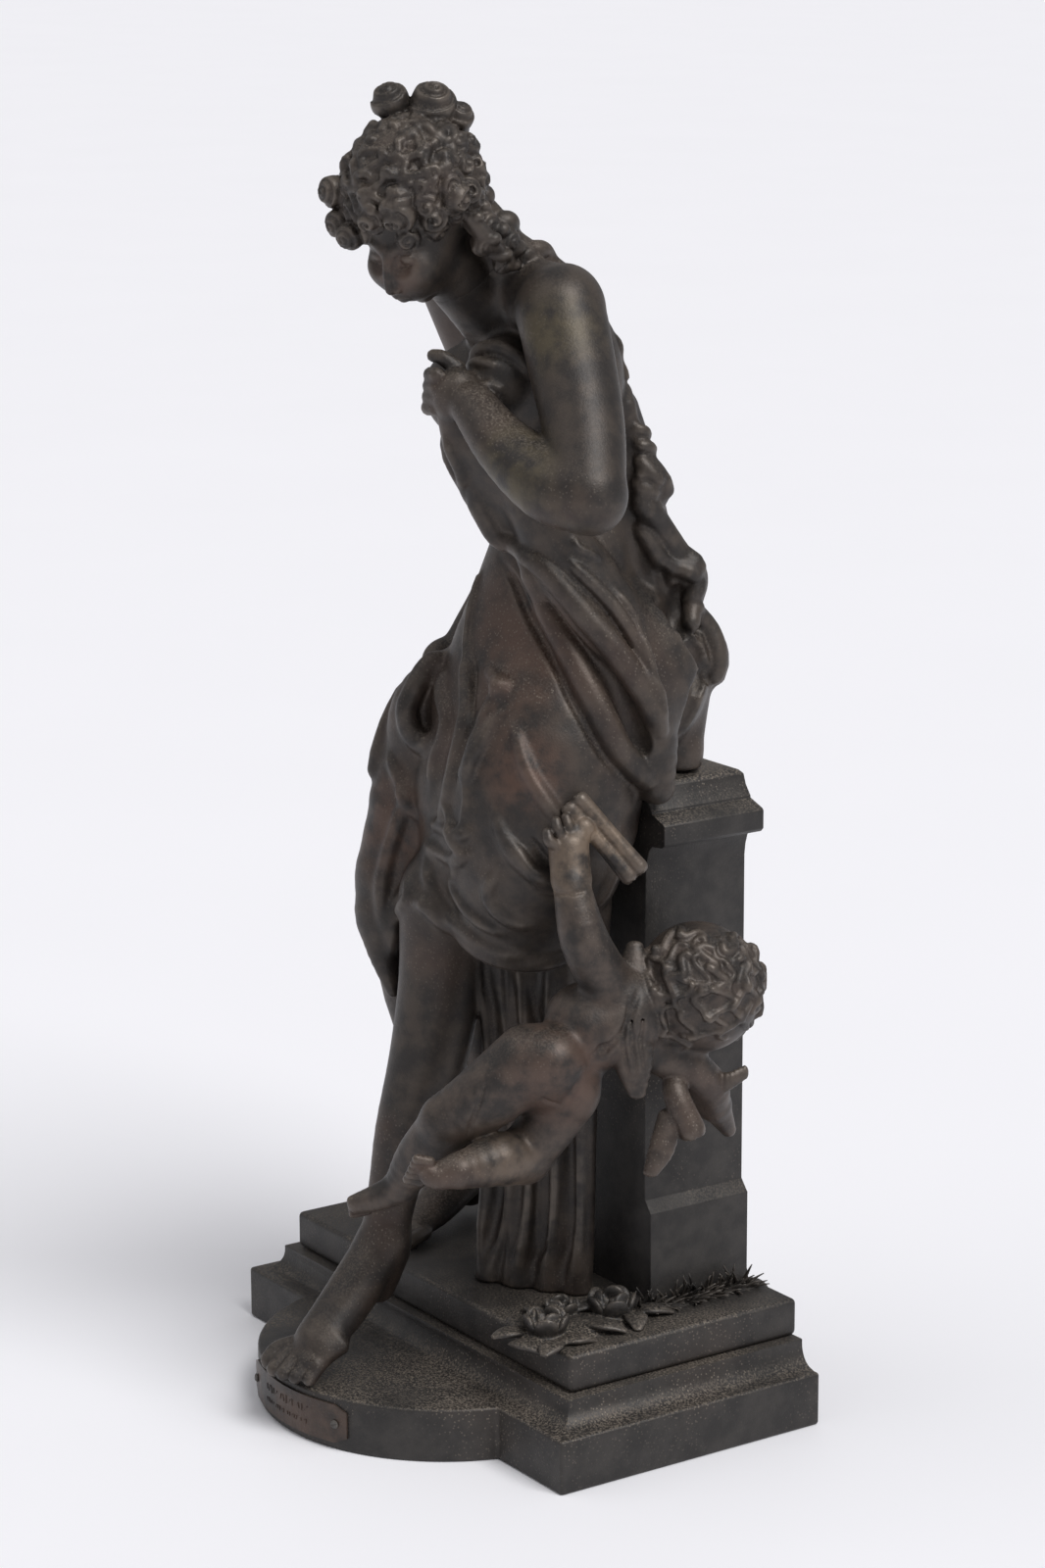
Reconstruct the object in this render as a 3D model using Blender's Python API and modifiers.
"""A patinated cast-metal mantel statue: a draped woman leaning on a pier, with a winged infant.

Metres, +Z up. The origin is the middle of the plinth's underside and the bowed front faces -Y.
The two figures are modelled in clay, which here is a signed distance on a grid that forms are
joined to and cut from; its skin is then thinned to a faceted solid. The rest is plain geometry.
"""

import math

import bmesh
import bpy
import numpy as np
from mathutils import Matrix, Vector

OBJECT_NAME = "psyche_statue"

# Gap between neighbouring pieces, and the wider one between figures carved in clay, whose
# skins are thinned apart from each other.
GAP = 0.0003
CLAY_GAP = 0.0014

# Moulded plinth with a bow in the middle of its front. Its back is flat and unmoulded.
PLINTH_HALF_WIDTH = 0.150
PLINTH_HALF_DEPTH = 0.0804
PLINTH_HEIGHT = 0.0422
PLINTH_FOOT_HEIGHT = 0.0282
PLINTH_EDGE = 0.0014
COVE_LIP = 0.0022
# The cove's back stands this far in from the foot's, so that the two never share a face.
BACK_SET = 0.0004
COVE_FOOT_INSET = 0.0048
COVE_TOP_INSET = 0.0142
COVE_STEPS = 4
BOW_RADIUS = 0.100
BOW_CENTRE_Y = -0.0475
BOW_STEPS = 40
BOW_CREASE = 50.0

# Slab on the plinth, and the pier that stands on it.
SLAB_HALF_WIDTH = 0.1304
SLAB_FRONT = -0.0609
SLAB_HEIGHT = 0.0197
SLAB_EDGE = 0.0018
PIER_LEFT = -0.004
PIER_RIGHT = 0.0852
PIER_FRONT = 0.0166
PIER_BACK = 0.0786
SHOE_HEIGHT = 0.0476
SHOE_OVERHANG = 0.0052
SHOE_SPLAY = 0.0024
SHOE_SPLAY_HEIGHT = 0.0052
SHOE_SLOPE = 0.0052
SHAFT_HEIGHT = 0.226
FLARE_HEIGHT = 0.0148
FLARE_REACH = 0.0042
CAP_OVERHANG = 0.0155
CAP_HEIGHT = 0.0122
CAP_LIP = 0.002
CAP_SLOPE = 0.0035
LOW_TIER_INSET = 0.0046
LOW_TIER_HEIGHT = 0.0052
HIGH_TIER_REACH = 0.0006
HIGH_TIER_HEIGHT = 0.0075
DOME_INSET = 0.026
DOME_HEIGHT = 0.0024
MOULD_EDGE = 0.001

# Plate on the bow's face, with a screw at each end.
PLATE_HALF_WIDTH = 0.0445
PLATE_LOW = 0.0042
PLATE_HEIGHT = 0.0204
PLATE_THICKNESS = 0.0011
PLATE_CORNER = 0.0034
PLATE_STEPS = 12
SCREW_SPREAD = 0.0375
SCREW_HEAD_RADIUS = 0.0023
SCREW_HEAD_HEIGHT = 0.0012
SCREW_SHANK_RADIUS = 0.0011
SCREW_LENGTH = 0.0062
SCREW_CLEARANCE = 0.0004
SCREW_SLOT_WIDTH = 0.0007
SCREW_SLOT_DEPTH = 0.0005
SCREW_SLOT_TURN = 24.0
SCREW_RIM_SHARE = 0.4
SCREW_CROWN_SHARE = 0.6
SCREW_STEPS = 16

# The woman's standing height. The pose below is written for a figure POSE_HEIGHT units tall
# over a slab whose top is POSE_SLAB units above the floor.
FIGURE_HEIGHT = 0.700
POSE_HEIGHT = 700.0
POSE_SLAB = 62.2

# Grid step of each figure's clay, and the triangles that its thinned skin keeps.
WOMAN_STEP = 0.0032
WOMAN_TRIANGLES = 5200
INFANT_STEP = 0.0022
INFANT_TRIANGLES = 2100
POSY_STEP = 0.0018
POSY_TRIANGLES = 620

# Bed of leaves that the roses lie on.
POSY_BED = (98, -36, 60)
POSY_BED_RADII = (19, 34, 10)
# Grass along the pier's side: how many tufts, where the row starts, its pitch, and how far out
# it stands, clear of the pier's wall.
GRASS_TUFTS = 9
GRASS_START = 12
GRASS_PITCH = 8
GRASS_LINE = 100

SLAB_TOP = PLINTH_HEIGHT + GAP + SLAB_HEIGHT
UNIT = FIGURE_HEIGHT / POSE_HEIGHT
# How far a cutter runs past what it cuts.
SPARE = 0.01
# What the clay's field holds where nothing is near.
FAR = 1.0
# How often a place is moved toward the skin, and how far at a time at most.
SKIN_PASSES = 5
SKIN_PASS_REACH = 0.004


def at(x, y, z):
    """Returns the place in metres of a point of the pose."""
    return np.array((x * UNIT, y * UNIT, (z - POSE_SLAB) * UNIT + SLAB_TOP))


class Clay:
    """Signed distances on a regular grid, negative inside, that forms are joined to."""

    def __init__(self, low, high, step):
        self.low, self.step = np.asarray(low, float), step
        self.shape = np.ceil((np.asarray(high) - self.low) / step).astype(int) + 1
        self.field = np.full(self.shape, FAR, np.float32)

    def patch(self, low, high):
        """Returns the part of the grid in a box, and the coordinates of its points."""
        first = np.clip(np.floor((low - self.low) / self.step).astype(int), 0, self.shape)
        last = np.clip(np.ceil((high - self.low) / self.step).astype(int) + 1, 0, self.shape)
        part = tuple(slice(a, b) for a, b in zip(first, last))
        axes = [
            (self.low[i] + self.step * np.arange(first[i], last[i])).astype(np.float32)
            for i in range(3)
        ]
        return part, np.meshgrid(*axes, indexing="ij", sparse=True)

    def join(self, form, blend=2.0):
        """Adds a form, with a fillet of about this many units where it meets the clay."""
        reach = (blend + 1.0) * UNIT + 2 * self.step
        part, grid = self.patch(form.low - reach, form.high + reach)
        self.field[part] = smooth_least(self.field[part], form.distance(*grid), blend * UNIT)

    def cut(self, form, blend=1.0):
        """Takes a form away, rounding the rim by about this many units."""
        reach = (blend + 1.0) * UNIT + 2 * self.step
        part, grid = self.patch(form.low - reach, form.high + reach)
        self.field[part] = -smooth_least(-self.field[part], form.distance(*grid), blend * UNIT)

    def clear_of(self, other, gap):
        """Takes away what comes nearer than the gap to another block of clay."""
        part, grid = self.patch(other.low, other.low + other.step * (other.shape - 1))
        near = gap - other.sample(*np.broadcast_arrays(*grid))
        self.field[part] = np.maximum(self.field[part], near)

    def sample(self, x, y, z):
        """Returns the field between grid points, by trilinear interpolation."""
        where = [np.asarray(c, float) for c in (x, y, z)]
        cells = [(c - low) / self.step for c, low in zip(where, self.low)]
        base = [np.clip(c.astype(int), 0, n - 2) for c, n in zip(cells, self.shape)]
        part = [np.clip(c - b, 0.0, 1.0) for c, b in zip(cells, base)]
        total = 0.0
        for corner in range(8):
            bits = [(corner >> axis) & 1 for axis in range(3)]
            weight = 1.0
            for axis, bit in enumerate(bits):
                weight = weight * (part[axis] if bit else 1.0 - part[axis])
            total = total + weight * self.field[tuple(b + bit for b, bit in zip(base, bits))]
        return total

    def on_skin(self, places):
        """Returns places in metres, moved along the field's slope onto the clay's skin."""
        places = np.array(places, float)
        for _ in range(SKIN_PASSES):
            values = np.clip(self.sample(*places.T), -SKIN_PASS_REACH, SKIN_PASS_REACH)
            slope = np.stack([
                self.sample(*(places + offset).T) - self.sample(*(places - offset).T)
                for offset in self.step * np.eye(3)
            ], axis=1)
            slope /= np.maximum(np.linalg.norm(slope, axis=1), 1e-9)[:, None]
            places -= values[:, None] * slope
        return places


class Form:
    """A shape to join or cut: the box that holds it, and its distance function."""

    def __init__(self, low, high, distance):
        self.low, self.high, self.distance = np.asarray(low), np.asarray(high), distance


def smooth_least(a, b, width):
    """Returns the lesser of two distances, rounded over where they are about equal."""
    share = np.clip(0.5 + 0.5 * (b - a) / max(width, 1e-6), 0.0, 1.0)
    return b + (a - b) * share - width * share * (1.0 - share)


def curve_through(points, steps):
    """Returns a smooth curve through points of any number of columns (Catmull-Rom)."""
    points = np.asarray(points, float)
    if len(points) < 3 or steps < 2:
        return points
    ends = np.vstack([2 * points[0] - points[1], points, 2 * points[-1] - points[-2]])
    rows = []
    for i in range(len(points) - 1):
        a, b, c, d = ends[i : i + 4]
        for t in np.linspace(0.0, 1.0, steps, endpoint=False):
            rows.append(
                0.5 * (2 * b + (c - a) * t + (2 * a - 5 * b + 4 * c - d) * t**2
                       + (3 * b - a - 3 * c + d) * t**3)
            )
    return np.array(rows + [points[-1]])


def limb(points, wide=None, widen=1.0, steps=4):
    """A round limb through rows of x, y, z and radius, in units of the pose.

    wide, if given, is a direction in which the limb is widen times as thick as it is round.
    """
    rows = curve_through(points, steps)
    return tube([at(*row[:3]) for row in rows], rows[:, 3] * UNIT, wide, widen)


def tube(places, radii, wide=None, widen=1.0):
    """A round limb through places in metres, with a radius at each."""
    places = np.array(places).astype(np.float32)
    radii = np.array(radii).astype(np.float32)
    side = None
    if wide is not None:
        side = np.asarray(wide, float) / np.linalg.norm(wide)
    reach = radii.max() * max(widen, 1.0)

    def distance(x, y, z):
        best = None
        for a, b, ra, rb in zip(places, places[1:], radii, radii[1:]):
            along = b - a
            run = max(float(along @ along), 1e-12)
            px, py, pz = x - a[0], y - a[1], z - a[2]
            t = np.clip((px * along[0] + py * along[1] + pz * along[2]) / run, 0.0, 1.0)
            px, py, pz = px - t * along[0], py - t * along[1], pz - t * along[2]
            squared = px * px + py * py + pz * pz
            if side is not None:
                across = px * side[0] + py * side[1] + pz * side[2]
                squared = squared - across**2 * (1.0 - 1.0 / widen**2)
            found = np.sqrt(np.maximum(squared, 0.0)) - (ra + t * (rb - ra))
            best = found if best is None else np.minimum(best, found)
        return best

    return Form(places.min(axis=0) - reach, places.max(axis=0) + reach, distance)


def fold(clay, points, steps=4):
    """A limb that lies on the clay's skin, however far off its points are."""
    rows = curve_through(points, steps)
    places = clay.on_skin([at(*row[:3]) for row in rows])
    return tube(places, rows[:, 3] * UNIT)


def pellet(place, radius):
    """A ball at a place in metres, its radius in units of the pose."""
    reach = radius * UNIT

    def distance(x, y, z):
        return np.sqrt((x - place[0])**2 + (y - place[1])**2 + (z - place[2])**2) - reach

    return Form(place - reach, place + reach, distance)


def ball(centre, radii, turn=(0.0, 0.0, 0.0)):
    """An ellipsoid in units of the pose, turned about X, then Y, then Z by degrees."""
    place = at(*centre)
    sizes = np.asarray(radii, float) * UNIT
    turned = Matrix.Identity(3)
    for axis, angle in zip("XYZ", turn):
        turned = Matrix.Rotation(math.radians(angle), 3, axis) @ turned
    back = np.array(turned.transposed())
    reach = sizes.max()

    def distance(x, y, z):
        local = (x - place[0], y - place[1], z - place[2])
        rows = [sum(back[i][j] * local[j] for j in range(3)) / sizes[i] for i in range(3)]
        scaled = np.sqrt(sum(row * row for row in rows))
        slope = np.sqrt(sum((row / size) ** 2 for row, size in zip(rows, sizes)))
        return scaled * (scaled - 1.0) / np.maximum(slope, 1e-9)

    return Form(place - reach, place + reach, distance)


EDGES = [
    (a, b)
    for a in range(8)
    for b in range(a + 1, 8)
    if bin(a ^ b).count("1") == 1
]


def skin_of(clay):
    """Returns the points and quads of the surface where the clay's field crosses zero."""
    field = clay.field
    inside = field < 0
    corner = [
        inside[i & 1 : inside.shape[0] - 1 + (i & 1),
               i >> 1 & 1 : inside.shape[1] - 1 + (i >> 1 & 1),
               i >> 2 & 1 : inside.shape[2] - 1 + (i >> 2 & 1)]
        for i in range(8)
    ]
    count = sum(c.astype(np.int8) for c in corner)
    cells = np.argwhere((count > 0) & (count < 8))
    number = np.full(count.shape, -1, np.int64)
    number[tuple(cells.T)] = np.arange(len(cells))
    total = np.zeros((len(cells), 3))
    hits = np.zeros(len(cells))
    for a, b in EDGES:
        start = np.array([a & 1, a >> 1 & 1, a >> 2 & 1])
        end = np.array([b & 1, b >> 1 & 1, b >> 2 & 1])
        fa = field[tuple((cells + start).T)].astype(float)
        fb = field[tuple((cells + end).T)].astype(float)
        crossed = (fa < 0) != (fb < 0)
        t = np.where(crossed, fa / np.where(crossed, fa - fb, 1.0), 0.0)
        total += crossed[:, None] * (start + t[:, None] * (end - start))
        hits += crossed
    points = clay.low + clay.step * (cells + total / hits[:, None])
    quads = []
    for axis in range(3):
        others = [i for i in range(3) if i != axis]
        ahead = np.take(inside, range(1, inside.shape[axis]), axis)
        behind = np.take(inside, range(inside.shape[axis] - 1), axis)
        for leaving, order in ((behind & ~ahead, 1), (ahead & ~behind, -1)):
            found = np.argwhere(leaving)
            found = found[(found[:, others] > 0).all(axis=1)]
            around = []
            for u, v in ((0, 0), (1, 0), (1, 1), (0, 1)):
                cell = found.copy()
                cell[:, others[0]] -= u
                cell[:, others[1]] -= v
                around.append(number[tuple(cell.T)])
            order = -order if axis == 1 else order
            quads.append(np.stack(around[::order], axis=1))
    return points, np.concatenate(quads)


def object_of(name, points, faces, collection):
    """Makes a mesh object, with its normals facing out."""
    mesh = bpy.data.meshes.new(name)
    mesh.from_pydata([tuple(p) for p in points], [], [tuple(f) for f in faces])
    made = bmesh.new()
    made.from_mesh(mesh)
    bmesh.ops.recalc_face_normals(made, faces=made.faces)
    made.to_mesh(mesh)
    made.free()
    obj = bpy.data.objects.new(name, mesh)
    collection.objects.link(obj)
    return obj


def settle(obj):
    """Applies an object's modifiers to its mesh."""
    bpy.context.view_layer.update()
    graph = bpy.context.evaluated_depsgraph_get()
    mesh = bpy.data.meshes.new_from_object(obj.evaluated_get(graph))
    obj.modifiers.clear()
    obj.data = mesh
    return obj


def keep_largest(obj):
    """Deletes every loose part of a mesh but the one with the most points."""
    made = bmesh.new()
    made.from_mesh(obj.data)
    left = set(made.verts)
    islands = []
    while left:
        stack = [left.pop()]
        island = list(stack)
        while stack:
            for edge in stack.pop().link_edges:
                for vert in edge.verts:
                    if vert in left:
                        left.remove(vert)
                        stack.append(vert)
                        island.append(vert)
        islands.append(island)
    islands.sort(key=len)
    for island in islands[:-1]:
        bmesh.ops.delete(made, geom=island, context="VERTS")
    made.to_mesh(obj.data)
    made.free()


def cast(name, clay, triangles, collection):
    """Turns clay into one faceted solid of about this many triangles."""
    points, quads = skin_of(clay)
    obj = object_of(name, points, quads, collection)
    remesh = obj.modifiers.new("even", "REMESH")
    remesh.mode = "VOXEL"
    remesh.voxel_size = clay.step
    settle(obj)
    keep_largest(obj)
    thin = obj.modifiers.new("thin", "DECIMATE")
    thin.ratio = min(1.0, triangles / (2.0 * len(obj.data.polygons)))
    return settle(obj)


def boolean(obj, cutter, operation="DIFFERENCE"):
    """Joins or cuts at once."""
    modifier = obj.modifiers.new(operation.lower(), "BOOLEAN")
    modifier.operation = operation
    modifier.solver = "EXACT"
    modifier.object = cutter
    return settle(obj)


def stack(name, rings, collection):
    """A solid through level rings of as many corners each: rows of z and a list of x, y."""
    size = len(rings[0][1])
    points = [(x, y, z) for z, ring in rings for x, y in ring]
    faces = [tuple(range(size))[::-1], tuple(range(len(points) - size, len(points)))]
    for level in range(len(rings) - 1):
        low, high = level * size, (level + 1) * size
        for i in range(size):
            j = (i + 1) % size
            faces.append((low + i, low + j, high + j, high + i))
    return object_of(name, points, faces, collection)


def oblong(left, right, front, back):
    """The corners of a rectangle, counter-clockwise."""
    return [(left, front), (right, front), (right, back), (left, back)]


def box(name, low, high, collection):
    """A plain box between two corners."""
    rings = [(z, oblong(low[0], high[0], low[1], high[1])) for z in (low[2], high[2])]
    return stack(name, rings, collection)


def bevel(obj, width, segments=2, angle=40.0):
    """Rounds the edges of an object that are sharper than an angle."""
    modifier = obj.modifiers.new("edges", "BEVEL")
    modifier.width = width
    modifier.segments = segments
    modifier.limit_method = "ANGLE"
    modifier.angle_limit = math.radians(angle)
    return settle(obj)


def plinth_outline(grow=0.0):
    """The plan of the plinth's foot: an oblong with the bow in the middle of its front."""
    half, front = PLINTH_HALF_WIDTH + grow, -PLINTH_HALF_DEPTH - grow
    radius = BOW_RADIUS + grow
    reach = math.acos((BOW_CENTRE_Y - front) / radius)
    arc = [
        (radius * math.sin(a), BOW_CENTRE_Y - radius * math.cos(a))
        for a in np.linspace(-reach, reach, BOW_STEPS + 1)
    ]
    back = PLINTH_HALF_DEPTH + grow
    return [(-half, front)] + arc + [(half, front), (half, back), (-half, back)]


def cove_rings(grow=0.0):
    """The rings of the cove that rises from the foot to the slab; its back is flat."""
    rise = PLINTH_HEIGHT - COVE_LIP - PLINTH_FOOT_HEIGHT
    run = COVE_TOP_INSET - COVE_FOOT_INSET
    profile = [(PLINTH_FOOT_HEIGHT - SPARE, COVE_FOOT_INSET)]
    for i in range(COVE_STEPS + 1):
        turn = 0.5 * math.pi * i / COVE_STEPS
        profile.append((PLINTH_FOOT_HEIGHT + rise * (1 - math.cos(turn)),
                        COVE_FOOT_INSET + run * math.sin(turn)))
    profile.append((PLINTH_HEIGHT + grow, COVE_TOP_INSET))
    return [
        (z, oblong(-PLINTH_HALF_WIDTH + inset - grow, PLINTH_HALF_WIDTH - inset + grow,
                   -PLINTH_HALF_DEPTH + inset - grow, PLINTH_HALF_DEPTH - BACK_SET + grow))
        for z, inset in profile
    ]


def plinth_body(name, collection, grow=0.0):
    """The plinth with its bow, as a solid or, grown by a gap, as a cutter."""
    outline = plinth_outline(grow)
    rings = [(z, outline) for z in (-grow, PLINTH_FOOT_HEIGHT + grow)]
    body = bevel(stack(name, rings, collection), PLINTH_EDGE, 2, BOW_CREASE)
    cove = stack("cove", cove_rings(grow), collection)
    boolean(body, cove, "UNION")
    bpy.data.objects.remove(cove)
    return body


def pier_rings(grow=0.0):
    """The pier's rings: shoe, shaft, cap, tiers and dome. Only its flanks are moulded."""
    foot, shoe = SLAB_TOP, SLAB_TOP + SHOE_HEIGHT
    shaft = SLAB_TOP + SHAFT_HEIGHT
    cap = shaft + FLARE_HEIGHT
    top = cap + CAP_HEIGHT
    low_tier = top + CAP_SLOPE + MOULD_EDGE
    high_tier = low_tier + LOW_TIER_HEIGHT
    dome = high_tier + HIGH_TIER_HEIGHT
    levels = [
        (foot - SLAB_EDGE, SHOE_OVERHANG + SHOE_SPLAY), (foot + SHOE_SPLAY_HEIGHT, SHOE_OVERHANG),
        (shoe - MOULD_EDGE, SHOE_OVERHANG), (shoe, SHOE_OVERHANG - MOULD_EDGE),
        (shoe + SHOE_SLOPE, 0.0), (shaft, 0.0), (cap - MOULD_EDGE, FLARE_REACH),
        (cap, CAP_OVERHANG - CAP_LIP), (cap + CAP_LIP, CAP_OVERHANG),
        (top - MOULD_EDGE, CAP_OVERHANG), (top, CAP_OVERHANG - MOULD_EDGE),
        (low_tier - MOULD_EDGE, LOW_TIER_INSET), (low_tier, LOW_TIER_INSET),
        (high_tier, HIGH_TIER_REACH), (dome - CAP_LIP, -HIGH_TIER_REACH),
        (dome, -HIGH_TIER_REACH - CAP_LIP), (dome + DOME_HEIGHT, -DOME_INSET),
    ]
    rings = []
    for i, (z, out) in enumerate(levels):
        ends = max(-out, 0.0)
        rise = grow if i == len(levels) - 1 else -grow if i == 0 else 0.0
        rings.append((z + rise, oblong(PIER_LEFT - out - grow, PIER_RIGHT + out + grow,
                                       PIER_FRONT + ends - grow, PIER_BACK - ends + grow)))
    return rings


def slab_body(name, collection, grow=0.0):
    """The slab alone, from just over the plinth to the ground the figures stand on."""
    low = PLINTH_HEIGHT + GAP - grow
    slab = box(name, (-SLAB_HALF_WIDTH - grow, SLAB_FRONT - grow, low),
               (SLAB_HALF_WIDTH + grow, PLINTH_HALF_DEPTH + grow, SLAB_TOP + grow), collection)
    return bevel(slab, SLAB_EDGE, 2)


# Pose of the woman: x, y, z and radius of the limbs' centre lines.
NECK = [(20, -24, 562, 21), (22, -44, 577, 17), (25, -60, 592, 17)]
SHOULDERS = [(75, -29, 573, 16), (22, -20, 572, 15), (-38, -6, 574, 17)]
LEFT_ARM = [(80, -31, 571, 21.5), (95, -35, 547, 21), (115, -42, 519, 19.5), (131, -51, 494, 18)]
LEFT_FOREARM = [(132, -51, 490, 18), (112, -60, 495, 18), (85, -67, 510, 14.5), (62, -70, 527, 11)]
RIGHT_ARM = [(-44, -6, 572, 21), (-48, 18, 520, 19), (-42, 36, 462, 15)]
RIGHT_FOREARM = [(-42, 36, 462, 14), (-36, 14, 420, 13), (-36, -10, 390, 10)]
LEFT_THIGH = [(56, 20, 385, 46), (36, -12, 330, 41), (6, -44, 270, 27)]
LEFT_SHANK = [(3, -49, 266, 24), (3, -53, 224, 21.5), (3, -61, 184, 20), (1, -73, 146, 16.5),
              (0, -81, 116, 13), (0, -88, 88, 12)]
RIGHT_THIGH = [(-6, 20, 383, 38), (-28, -18, 325, 34), (-42, -48, 270, 22)]
RIGHT_SHANK = [(-44, -46, 262, 19), (-56, -28, 200, 19), (-64, -4, 130, 13), (-69, 6, 100, 11)]

# The hair's middle, the reach of its curls from there, and rows of them: how far each row is
# tipped from the crown toward the face, its count and the radius of a curl.
HAIR_CENTRE = (25, -81, 636)
HAIR_REACH = 36
CURL_ROWS = ((20, 7, 7.5), (46, 11, 8.5), (74, 13, 9.0))
CROWN_TIP = -40.0
# Curls lower than this and farther back than this would fall on the nape.
NAPE_TOP, NAPE_FRONT = 611, -70
KNOTS = ((15, -83, 669, 10.5), (30, -66, 666, 13.5), (40, -56, 659, 9))
FRINGE = ((2, -109, 626, 9), (5, -107, 611, 9), (20, -107, 606, 8))
BRAID = [(27, -50, 618, 13), (32, -40, 607, 11), (42, -26, 597, 8.5), (52, -9, 588, 7),
         (57, 4, 573, 6), (60, 14, 557, 5), (62, 19, 543, 3.5)]

# Folds that stand out of the drapery, and creases that sink into it. Each lies on the cloth.
APRON_FOLDS = (
    [(58, -52, 490, 3), (65, -40, 454, 4.5), (78, -30, 434, 5), (89, -18, 416, 5),
     (97, -5, 397, 5), (103, 7, 380, 5), (104, 14, 356, 5), (100, 14, 336, 5)],
    [(51, -27, 425, 3), (72, -26, 402, 4.5), (85, -23, 381, 5), (93, -15, 365, 5),
     (95, -3, 347, 5), (96, 8, 333, 5)],
    [(81, -9, 453, 3), (94, -3, 422, 4), (99, 6, 406, 4), (103, 11, 382, 4)],
    [(79, -31, 461, 3), (84, -18, 453, 3.5), (82, -2, 449, 3)],
)
THIGH_FOLDS = (
    [(46, -47, 389, 3), (64, -51, 374, 3.5), (77, -53, 356, 4), (84, -53, 332, 4),
     (89, -50, 314, 4), (92, -42, 293, 3)],
    [(52, -47, 388, 3), (50, -59, 364, 3.5), (47, -67, 341, 3.5), (26, -65, 319, 3)],
    [(15, -44, 396, 3), (24, -52, 375, 3.5), (40, -61, 361, 3)],
    [(80, -36, 379, 3), (89, -34, 360, 3.5), (95, -30, 342, 3.5), (98, -29, 322, 3)],
    [(76, -61, 333, 3), (82, -58, 313, 4), (87, -52, 297, 4), (91, -41, 287, 4), (94, -19, 290, 3)],
    [(46, -68, 337, 3), (57, -71, 302, 4), (69, -63, 279, 4), (81, -44, 266, 4), (85, -13, 272, 3)],
    [(42, -70, 317, 2.5), (45, -71, 298, 3), (37, -65, 270, 3)],
    [(0, -73, 271, 3), (13, -70, 255, 4), (25, -60, 246, 4), (59, -48, 246, 4), (72, -25, 250, 4)],
)
KNEE_FOLDS = (
    [(-18, -42, 387, 4), (-20, -53, 373, 5), (-18, -56, 351, 5), (-3, -58, 332, 4), (-8, -56, 304, 3)],
    [(-30, -60, 321, 4), (-35, -66, 290, 4.5), (-36, -70, 265, 4)],
    [(-13, -56, 309, 4), (-20, -60, 282, 4), (-26, -62, 255, 3)],
    [(-34, -34, 372, 4), (-42, -44, 345, 5), (-46, -52, 315, 4)],
)
CHEST_FOLDS = (
    [(12, -42, 546, 3), (22, -44, 554, 4), (38, -38, 556, 4), (56, -40, 550, 4), (66, -46, 538, 3)],
    [(14, -52, 530, 3), (30, -54, 540, 3.5), (48, -52, 545, 3)],
    [(34, -52, 500, 3), (42, -40, 470, 3.5), (52, -34, 440, 3)],
)
BACK_FOLDS = (
    [(50, 14, 530, 4), (62, 22, 506, 5), (72, 30, 486, 5), (70, 42, 470, 4)],
    [(70, 24, 480, 4), (73, 42, 455, 5), (75, 55, 434, 5), (74, 64, 420, 4)],
    [(72, 25, 451, 4), (76, 36, 440, 4.5), (80, 52, 424, 4.5)],
    [(74, 62, 414, 5), (76, 66, 396, 6), (74, 60, 378, 5)],
    [(70, 40, 372, 4), (76, 46, 352, 5), (80, 50, 336, 4)],
    [(-30, 40, 500, 4), (-14, 62, 440, 6), (-4, 74, 380, 6), (0, 70, 345, 5)],
    [(-4, 40, 520, 4), (10, 62, 450, 6), (22, 78, 390, 6), (26, 76, 345, 5)],
    [(24, 36, 524, 4), (36, 58, 455, 6), (48, 70, 395, 6), (48, 68, 345, 5)],
    [(-50, 20, 400, 5), (-56, 6, 350, 6), (-56, -16, 300, 5), (-50, -34, 262, 4)],
    [(-34, 40, 390, 5), (-44, 34, 330, 6), (-46, 12, 280, 5)],
)
CREASES = (
    [(64, -34, 440, 3), (82, -26, 410, 4), (93, -12, 386, 4), (99, 4, 360, 4)],
    [(97, -4, 380, 4), (100, 1, 361, 6), (103, 9, 347, 5)],
    [(75, 34, 434, 5), (84, 34, 418, 6), (88, 34, 402, 5)],
    [(84, 44, 408, 4), (88, 46, 392, 5), (86, 40, 376, 4)],
    [(-12, -50, 374, 6), (-8, -54, 352, 7)],
    [(82, -50, 345, 3), (88, -44, 322, 3.5), (94, -34, 306, 3)],
)
# Bulges of the cloth at the back, and the deep gap between them and the apron.
BACK_LUMPS = ((66, 29, 478, 10), (70, 53, 430, 10), (72, 58, 388, 11), (72, 50, 342, 8))
SIDE_GAP = [(76, 30, 438, 4), (84, 33, 416, 6), (88, 33, 396, 6), (86, 32, 378, 4)]
SIDE_GAP_WAY = (0.80, -0.55, 0.23)
# Columns of the cloth that falls behind the legs to the slab: x, y and radius at its foot.
FALL_COLUMNS = ((18, -28, 8), (32, -20, 9), (46, -10, 9), (58, -2, 8))


def sculpt_body(clay):
    """The woman's body without hair or cloth."""
    clay.join(ball((24, 16, 386), (60, 46, 50)))
    clay.join(ball((26, 8, 442), (43, 33, 56), (-12, 0, 0)), 14)
    clay.join(ball((21, -6, 522), (58, 38, 56), (-14, 0, -6)), 12)
    clay.join(limb(SHOULDERS), 10)
    clay.join(limb(NECK), 7)
    clay.join(ball((48, -40, 522), (23, 20, 23)), 8)
    clay.join(ball((0, -34, 524), (22, 19, 22)), 8)
    for arm in (LEFT_ARM, RIGHT_ARM):
        clay.join(limb(arm), 9)
    for part in (LEFT_FOREARM, RIGHT_FOREARM):
        clay.join(limb(part), 3)
    for part in (LEFT_THIGH, RIGHT_THIGH):
        clay.join(limb(part), 10)
    for part in (LEFT_SHANK, RIGHT_SHANK):
        clay.join(limb(part), 6)


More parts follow.
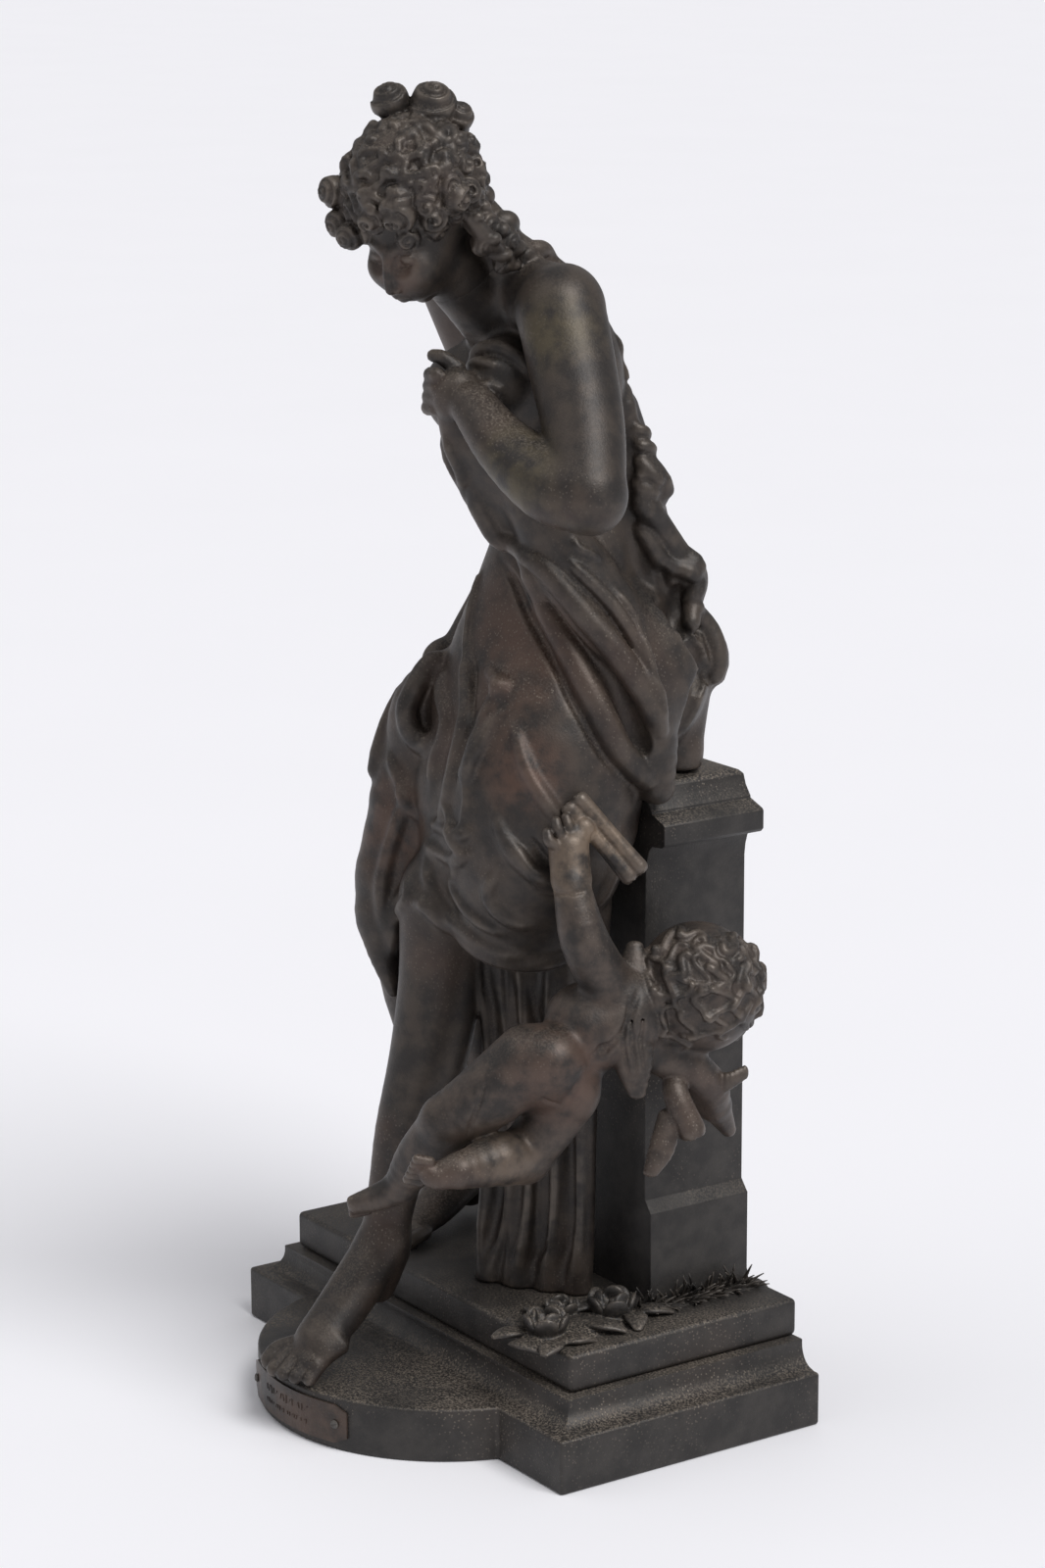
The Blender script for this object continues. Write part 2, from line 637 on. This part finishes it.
def sculpt_feet(clay):
    """Both feet, bare: the left one's toes over the bow, the right one flat on the slab."""
    clay.join(limb([(-1, -84, 84, 11), (1, -88, 74, 11), (0, -80, 62, 9)]), 5)
    clay.join(limb([(0, -90, 86, 12), (4, -114, 62, 12), (8, -136, 46, 12)], (1, 0, 0), 1.25), 5)
    clay.join(limb([(8, -132, 46, 11), (9, -146, 40, 8)], (1, 0, 0), 1.9), 4)
    clay.join(limb([(-72, 8, 96, 11), (-76, 16, 76, 11)]), 5)
    clay.join(limb([(-73, 6, 84, 11), (-62, -18, 74, 10), (-52, -38, 69, 7.5)], (1, 0, 0), 1.5), 5)


def sculpt_hands(clay):
    """The left fist that clutches the cloth, and the right hand under its folds."""
    clay.join(ball((48, -70, 536), (12, 14, 14), (0, 20, 20)), 5)
    for i in range(4):
        clay.join(limb([(58 - 3 * i, -76, 541 - 6 * i, 4), (50 - 3 * i, -80, 541 - 6 * i, 4.5),
                        (42 - 3 * i, -74, 541 - 6 * i, 4)]), 2)
    clay.join(limb([(46, -64, 550, 4.5), (38, -70, 552, 4), (33, -76, 546, 3.5)]), 2)
    clay.join(ball((-38, -20, 380), (10, 15, 12)), 4)


def sculpt_head(clay):
    """The bowed head with its curls, top-knot and the long curls down the back."""
    clay.join(ball((25, -76, 628), (30, 36, 34), (-42, 0, 0)), 6)
    clay.join(ball((29, -80, 601), (19, 22, 27), (-30, 0, 0)), 7)
    clay.join(ball((33, -82, 585), (11, 10, 11)), 5)
    clay.join(limb([(29, -102, 604, 3), (29, -102, 592, 3.5), (29, -98, 586, 3.5)]), 4)
    clay.join(ball((26, -79, 634), (30, 31, 27), (CROWN_TIP, 0, 0)), 3)
    clay.join(limb([(32, -46, 601, 9), (48, -30, 588, 9)]), 5)
    tip = Matrix.Rotation(math.radians(CROWN_TIP), 3, "X")
    for tilt, count, radius in CURL_ROWS:
        for i in range(count):
            way = Matrix.Rotation(2 * math.pi * (i + 0.5 * (count % 3)) / count, 3, "Z")
            way = tip.inverted() @ way @ Vector((0, -math.sin(math.radians(tilt)),
                                                 math.cos(math.radians(tilt))))
            place = Vector(HAIR_CENTRE) + HAIR_REACH * way
            if place.z < NAPE_TOP and place.y > NAPE_FRONT:
                continue
            spot = clay.on_skin([at(*place)])[0]
            clay.join(pellet(spot, radius), 2)
    for x, y, z, radius in KNOTS + FRINGE:
        clay.join(ball((x, y, z), (radius, radius, radius)), 2)
    clay.join(limb(BRAID), 4)
    for i, (x, y, z, radius) in enumerate(curve_through(BRAID, 2)):
        side = 3 if i % 2 else -3
        clay.join(ball((x + side, y + 3, z + 2), (radius, radius, radius)), 2)


def sculpt_cloth(clay):
    """The drapery: wrap, skirt, puff at the right thigh, apron, back folds and fall."""
    clay.join(limb([(24, 8, 410, 50), (18, -4, 372, 52), (4, -22, 320, 44)], (0, 1, 0), 0.86), 8)
    clay.join(limb([(36, 10, 385, 52), (46, -13, 348, 50), (50, -24, 307, 47), (46, -30, 272, 35)]), 8)
    clay.join(limb([(-30, -22, 350, 26), (-38, -36, 314, 25), (-42, -46, 273, 22),
                    (-42, -55, 250, 17)]), 8)
    clay.join(limb([(-42, -56, 249, 16), (-40, -60, 232, 9), (-36, -57, 210, 4)]), 5)
    clay.join(limb([(-18, -34, 378, 12), (-26, -40, 359, 19), (-34, -42, 334, 17),
                    (-42, -52, 312, 11)]), 5)
    clay.join(limb([(44, -68, 520, 9), (39, -60, 502, 9), (36, -45, 480, 8), (34, -32, 457, 8)]), 5)
    clay.join(limb([(56, -56, 513, 9), (64, -27, 463, 16), (76, 0, 408, 22), (88, 12, 364, 17),
                    (95, 16, 334, 9)]), 6)
    clay.join(limb([(50, 20, 515, 14), (54, 26, 486, 16), (58, 33, 454, 15), (64, 46, 425, 13),
                    (66, 56, 389, 12), (68, 50, 350, 12), (66, 48, 330, 12)]), 6)
    clay.join(limb([(10, 26, 505, 18), (14, 36, 450, 24), (18, 44, 400, 28), (22, 50, 345, 24)]), 8)
    for x, y, r in FALL_COLUMNS:
        clay.join(limb([(x + 6, y, 268, r + 4), (x + 2, y, 180, r), (x, y - 2, 100, r),
                        (x - 1, y - 4, 60, r + 2)]), 4)
    clay.join(limb([(-24, -4, 275, 18), (-24, -6, 200, 15), (-14, -8, 125, 10), (-6, -8, 62, 8)]), 5)
    for x, y, z, r in BACK_LUMPS:
        clay.join(ball((x, y, z), (r, r, 1.4 * r)), 5)
    for folds in (APRON_FOLDS, THIGH_FOLDS, KNEE_FOLDS, CHEST_FOLDS, BACK_FOLDS):
        for rows in folds:
            clay.join(fold(clay, rows), 4)
    for rows in CREASES:
        clay.cut(fold(clay, rows), 3)
    clay.cut(limb(SIDE_GAP, SIDE_GAP_WAY, 2.5), 3)


def woman_clay(step, clear):
    """Returns the woman in clay, kept off the posy by its gap."""
    clay = Clay(at(-125, -185, 20), at(185, 125, 712), step)
    sculpt_body(clay)
    sculpt_feet(clay)
    sculpt_cloth(clay)
    sculpt_hands(clay)
    sculpt_head(clay)
    clay.clear_of(clear, CLAY_GAP)
    return clay


def sculpt_infant_trunk(clay):
    """The infant's trunk, head and ears."""
    clay.join(ball((112, -56, 202), (19, 22, 23), (0, 0, 30)))
    clay.join(ball((118, -36, 222), (18, 22, 24), (30, 0, 20)), 10)
    clay.join(ball((122, -18, 230), (18, 24, 22), (30, 0, 20)), 10)
    clay.join(ball((118, -64, 212), (17, 16, 17)), 6)
    clay.join(ball((120, -46, 190), (16, 16, 16)), 6)
    clay.cut(limb([(134, -50, 212, 2.5), (136, -56, 203, 3), (132, -60, 194, 2.5)]), 3)
    clay.join(limb([(122, -12, 234, 13), (126, 6, 238, 14)]), 4)
    clay.join(ball((129, 17, 239), (30, 31, 33), (20, 0, 0)), 3)
    for x, y, z in ((127, -13, 236), (138, 45, 243)):
        clay.join(ball((x, y, z), (7, 4, 9)), 2)
    for turn, rise in ((0, 38), (50, 42), (110, 44), (170, 40), (230, 42), (290, 42), (30, 66), (190, 68)):
        level = 31 * math.cos(math.radians(rise))
        spot = (129 + level * math.cos(math.radians(turn)), 17 + level * math.sin(math.radians(turn)),
                239 + 33 * math.sin(math.radians(rise)))
        clay.join(pellet(clay.on_skin([at(*spot)])[0], 6), 2)


def sculpt_infant_limbs(clay):
    """The infant's arms and legs."""
    clay.join(limb([(120, -30, 244, 13), (118, -44, 270, 12), (110, -46, 296, 9)]), 5)
    clay.join(limb([(108, -45, 300, 8), (103, -43, 316, 9)]), 3)
    clay.join(limb([(104, -54, 320, 3.4), (102, -56, 328, 3)]), 1)
    clay.join(limb([(124, -8, 210, 11), (130, 8, 200, 11), (128, 24, 186, 10), (121, 32, 174, 9)]), 5)
    clay.join(limb([(121, 34, 172, 8), (116, 46, 156, 4)]), 3)
    clay.join(limb([(108, -70, 210, 19), (94, -86, 192, 17), (80, -99, 178, 14)]), 6)
    clay.join(limb([(80, -99, 178, 13), (62, -104, 156, 12), (50, -108, 138, 8.5)]), 4)
    clay.join(limb([(50, -108, 137, 8), (42, -116, 131, 7), (34, -124, 127, 5)]), 3)
    clay.join(limb([(112, -46, 184, 17), (104, -58, 168, 15), (98, -66, 158, 14)]), 6)
    clay.join(limb([(98, -66, 158, 13.5), (104, -86, 162, 13), (102, -106, 160, 9)]), 3)
    clay.join(limb([(101, -108, 160, 8), (97, -118, 158, 7), (94, -123, 164, 5)]), 3)


def sculpt_infant_gear(clay):
    """The infant's wing, scroll, short tube with its ribbon, and the arrow's feathered end."""
    clay.join(limb([(118, -14, 262, 3), (122, -18, 248, 6), (127, -26, 231, 8), (134, -27, 212, 7),
                    (137, -26, 194, 3)], (0.56, 0.83, 0), 1.5), 2)
    clay.join(limb([(126, -2, 242, 10), (124, 2, 250, 8), (118, -6, 256, 4)]), 3)
    clay.join(limb([(102, -42, 314, 6), (103, -34, 322, 6)]), 3)
    clay.join(limb([(101, -33, 331, 6), (109, -24, 319, 8), (115, -16, 303, 7)]), 3)
    clay.join(limb([(130, 2, 196, 6), (137, -2, 188, 6.5), (145, 3, 171, 7)]), 2)
    clay.join(limb([(136, -5, 178, 4.5), (138, -12, 162, 4.5), (138, -18, 152, 3)]), 2)
    clay.join(limb([(129, 24, 188, 4.5), (138, 28, 190, 3.5), (141, 37, 194, 3)], (0, 0, 1), 1.6), 2)


def infant_clay(step, clear):
    """Returns the infant in clay, seen from behind as he flies up to the woman."""
    clay = Clay(at(15, -145, 105), at(185, 75, 350), step)
    sculpt_infant_trunk(clay)
    sculpt_infant_limbs(clay)
    sculpt_infant_gear(clay)
    clay.clear_of(clear, CLAY_GAP)
    return clay


def posy_clay(step):
    """Returns the carved roses, leaves and grass of the slab in clay."""
    clay = Clay(at(40, -85, 46), at(140, 92, 105), step)
    for x, y, r in ((99, -54, 13), (96, -12, 14), (84, -34, 10)):
        clay.join(ball((x, y, 70), (r, r, 11)), 2)
        clay.cut(ball((x + 4, y - 4, 82), (7, 7, 7)), 2)
        clay.join(ball((x + 2, y - 2, 78), (4, 4, 5)), 1)
    for x, y, z, turn in ((104, -68, 58, 20), (114, -46, 64, 70), (112, -26, 64, 40), (80, -56, 62, -30),
                          (104, 6, 64, 60), (76, -40, 64, 10), (118, -60, 60, 120)):
        clay.join(ball((x, y, z), (13, 6, 4.5), (0, 0, turn)), 2)
    for i in range(GRASS_TUFTS):
        y = GRASS_START + GRASS_PITCH * i
        clay.join(limb([(GRASS_LINE, y, 60, 5), (GRASS_LINE + i % 3, y + 2, 68 + 2 * (i % 2), 3)]), 2)
    clay.join(limb([(98, -58, 59, 7), (97, -14, 59, 7), (GRASS_LINE, 8, 60, 7), (GRASS_LINE, 76, 60, 6)]), 2)
    clay.join(ball(POSY_BED, POSY_BED_RADII), 3)
    return clay


def build_plate(nodes):
    """The curved plate with chamfered corners, and its two screws."""
    inner, outer = BOW_RADIUS + GAP, BOW_RADIUS + GAP + PLATE_THICKNESS
    reach = math.asin(PLATE_HALF_WIDTH / outer)
    points, faces = [], []
    for i in range(PLATE_STEPS + 1):
        turn = reach * (2 * i / PLATE_STEPS - 1)
        short = max(0.0, PLATE_CORNER - (reach - abs(turn)) * outer)
        for radius in (inner, outer):
            for z in (PLATE_LOW + short, PLATE_LOW + PLATE_HEIGHT - short):
                points.append((radius * math.sin(turn), BOW_CENTRE_Y - radius * math.cos(turn), z))
    for i in range(PLATE_STEPS):
        a, b = 4 * i, 4 * i + 4
        for p, q in ((0, 1), (1, 3), (3, 2), (2, 0)):
            faces.append((a + p, a + q, b + q, b + p))
    last = 4 * PLATE_STEPS
    faces += [(0, 2, 3, 1), (last, last + 1, last + 3, last + 2)]
    return object_of("nameplate", points, faces, nodes)


def screw_frame(side):
    """The outward pose of a screw: its head's seat is the frame's origin, its axis local Z."""
    turn = side * math.asin(SCREW_SPREAD / BOW_RADIUS)
    seat = BOW_RADIUS + GAP + PLATE_THICKNESS + GAP
    spot = (seat * math.sin(turn), BOW_CENTRE_Y - seat * math.cos(turn),
            PLATE_LOW + PLATE_HEIGHT / 2)
    return (Matrix.Translation(spot) @ Matrix.Rotation(turn, 4, "Z")
            @ Matrix.Rotation(math.radians(90), 4, "X"))


def turned(name, profile, steps, frame, collection):
    """A turned solid from rows of radius and height along a frame's local Z."""
    rings = [
        (z, [(r * math.cos(a), r * math.sin(a))
             for a in np.linspace(0.0, 2 * math.pi, steps, endpoint=False)])
        for r, z in profile
    ]
    obj = stack(name, rings, collection)
    obj.data.transform(frame)
    return obj


def build_screws(nodes, cutters, plate, plinth):
    """Both screws, with the holes that they need in the plate and the plinth."""
    for side, word in ((-1, "left"), (1, "right")):
        frame = screw_frame(side)
        tip = GAP + PLATE_THICKNESS + GAP - SCREW_LENGTH
        profile = [(SCREW_SHANK_RADIUS, tip), (SCREW_SHANK_RADIUS, 0.0), (SCREW_HEAD_RADIUS, 0.0),
                   (SCREW_HEAD_RADIUS, SCREW_RIM_SHARE * SCREW_HEAD_HEIGHT),
                   (SCREW_CROWN_SHARE * SCREW_HEAD_RADIUS, SCREW_HEAD_HEIGHT)]
        screw = turned(f"plate_screw_{word}", profile, SCREW_STEPS, frame, nodes)
        reach = SCREW_HEAD_RADIUS + SPARE
        slot = box(f"slot_{word}", (-reach, -SCREW_SLOT_WIDTH / 2, SCREW_HEAD_HEIGHT - SCREW_SLOT_DEPTH),
                   (reach, SCREW_SLOT_WIDTH / 2, SCREW_HEAD_HEIGHT + SPARE), cutters)
        slot.data.transform(frame @ Matrix.Rotation(math.radians(side * SCREW_SLOT_TURN), 4, "Z"))
        boolean(screw, slot)
        radius = SCREW_SHANK_RADIUS + SCREW_CLEARANCE
        hole = turned(f"hole_{word}", [(radius, tip - SCREW_CLEARANCE), (radius, SPARE)],
                      SCREW_STEPS, frame, cutters)
        boolean(plate, hole)
        boolean(plinth, hole)


FINISHES = {
    "plinth": ("plinth_patina", (0.060, 0.052, 0.047)),
    "pier_and_slab": ("pier_patina", (0.066, 0.062, 0.060)),
    "psyche": ("figure_patina", (0.072, 0.056, 0.047)),
    "cupid": ("infant_patina", (0.085, 0.066, 0.056)),
    "nameplate": ("plate_metal", (0.070, 0.056, 0.050)),
    "plate_screw_left": ("screw_metal_left", (0.11, 0.10, 0.09)),
    "plate_screw_right": ("screw_metal_right", (0.11, 0.10, 0.09)),
}


def finish(obj):
    """Gives a node its own material."""
    name, colour = FINISHES[obj.name]
    material = bpy.data.materials.new(name)
    material.use_nodes = True
    shader = material.node_tree.nodes["Principled BSDF"]
    shader.inputs["Base Color"].default_value = (*colour, 1.0)
    shader.inputs["Metallic"].default_value = 0.7
    shader.inputs["Roughness"].default_value = 0.45
    obj.data.materials.clear()
    obj.data.materials.append(material)


def collection_of(name, hidden=False):
    """Makes a collection of the scene."""
    made = bpy.data.collections.new(name)
    bpy.context.scene.collection.children.link(made)
    made.hide_render = hidden
    return made


def main():
    """Builds every node."""
    for obj in list(bpy.data.objects):
        bpy.data.objects.remove(obj)
    nodes = collection_of(OBJECT_NAME)
    cutters = collection_of("cutters", hidden=True)

    plinth = plinth_body("plinth", nodes)
    slab = slab_body("pier_and_slab", nodes)
    pier = stack("pier", pier_rings(), cutters)
    boolean(slab, pier, "UNION")
    posy_field = posy_clay(POSY_STEP)
    posy = cast("posy", posy_field, POSY_TRIANGLES, cutters)
    boolean(slab, posy, "UNION")

    woman_field = woman_clay(WOMAN_STEP, posy_field)
    infant_field = infant_clay(INFANT_STEP, woman_field)
    woman = cast("psyche", woman_field, WOMAN_TRIANGLES, nodes)
    infant = cast("cupid", infant_field, INFANT_TRIANGLES, nodes)
    solid_cutters = [
        plinth_body("plinth_cutter", cutters, GAP),
        slab_body("slab_cutter", cutters, GAP),
        stack("pier_cutter", pier_rings(GAP), cutters),
    ]
    for cutter in solid_cutters:
        boolean(woman, cutter)
    boolean(infant, solid_cutters[-1])
    for figure in (woman, infant):
        keep_largest(figure)

    plate = build_plate(nodes)
    build_screws(nodes, cutters, plate, plinth)
    for obj in nodes.objects:
        finish(obj)
    for obj in cutters.objects:
        obj.hide_render = True
        obj.display_type = "WIRE"


main()
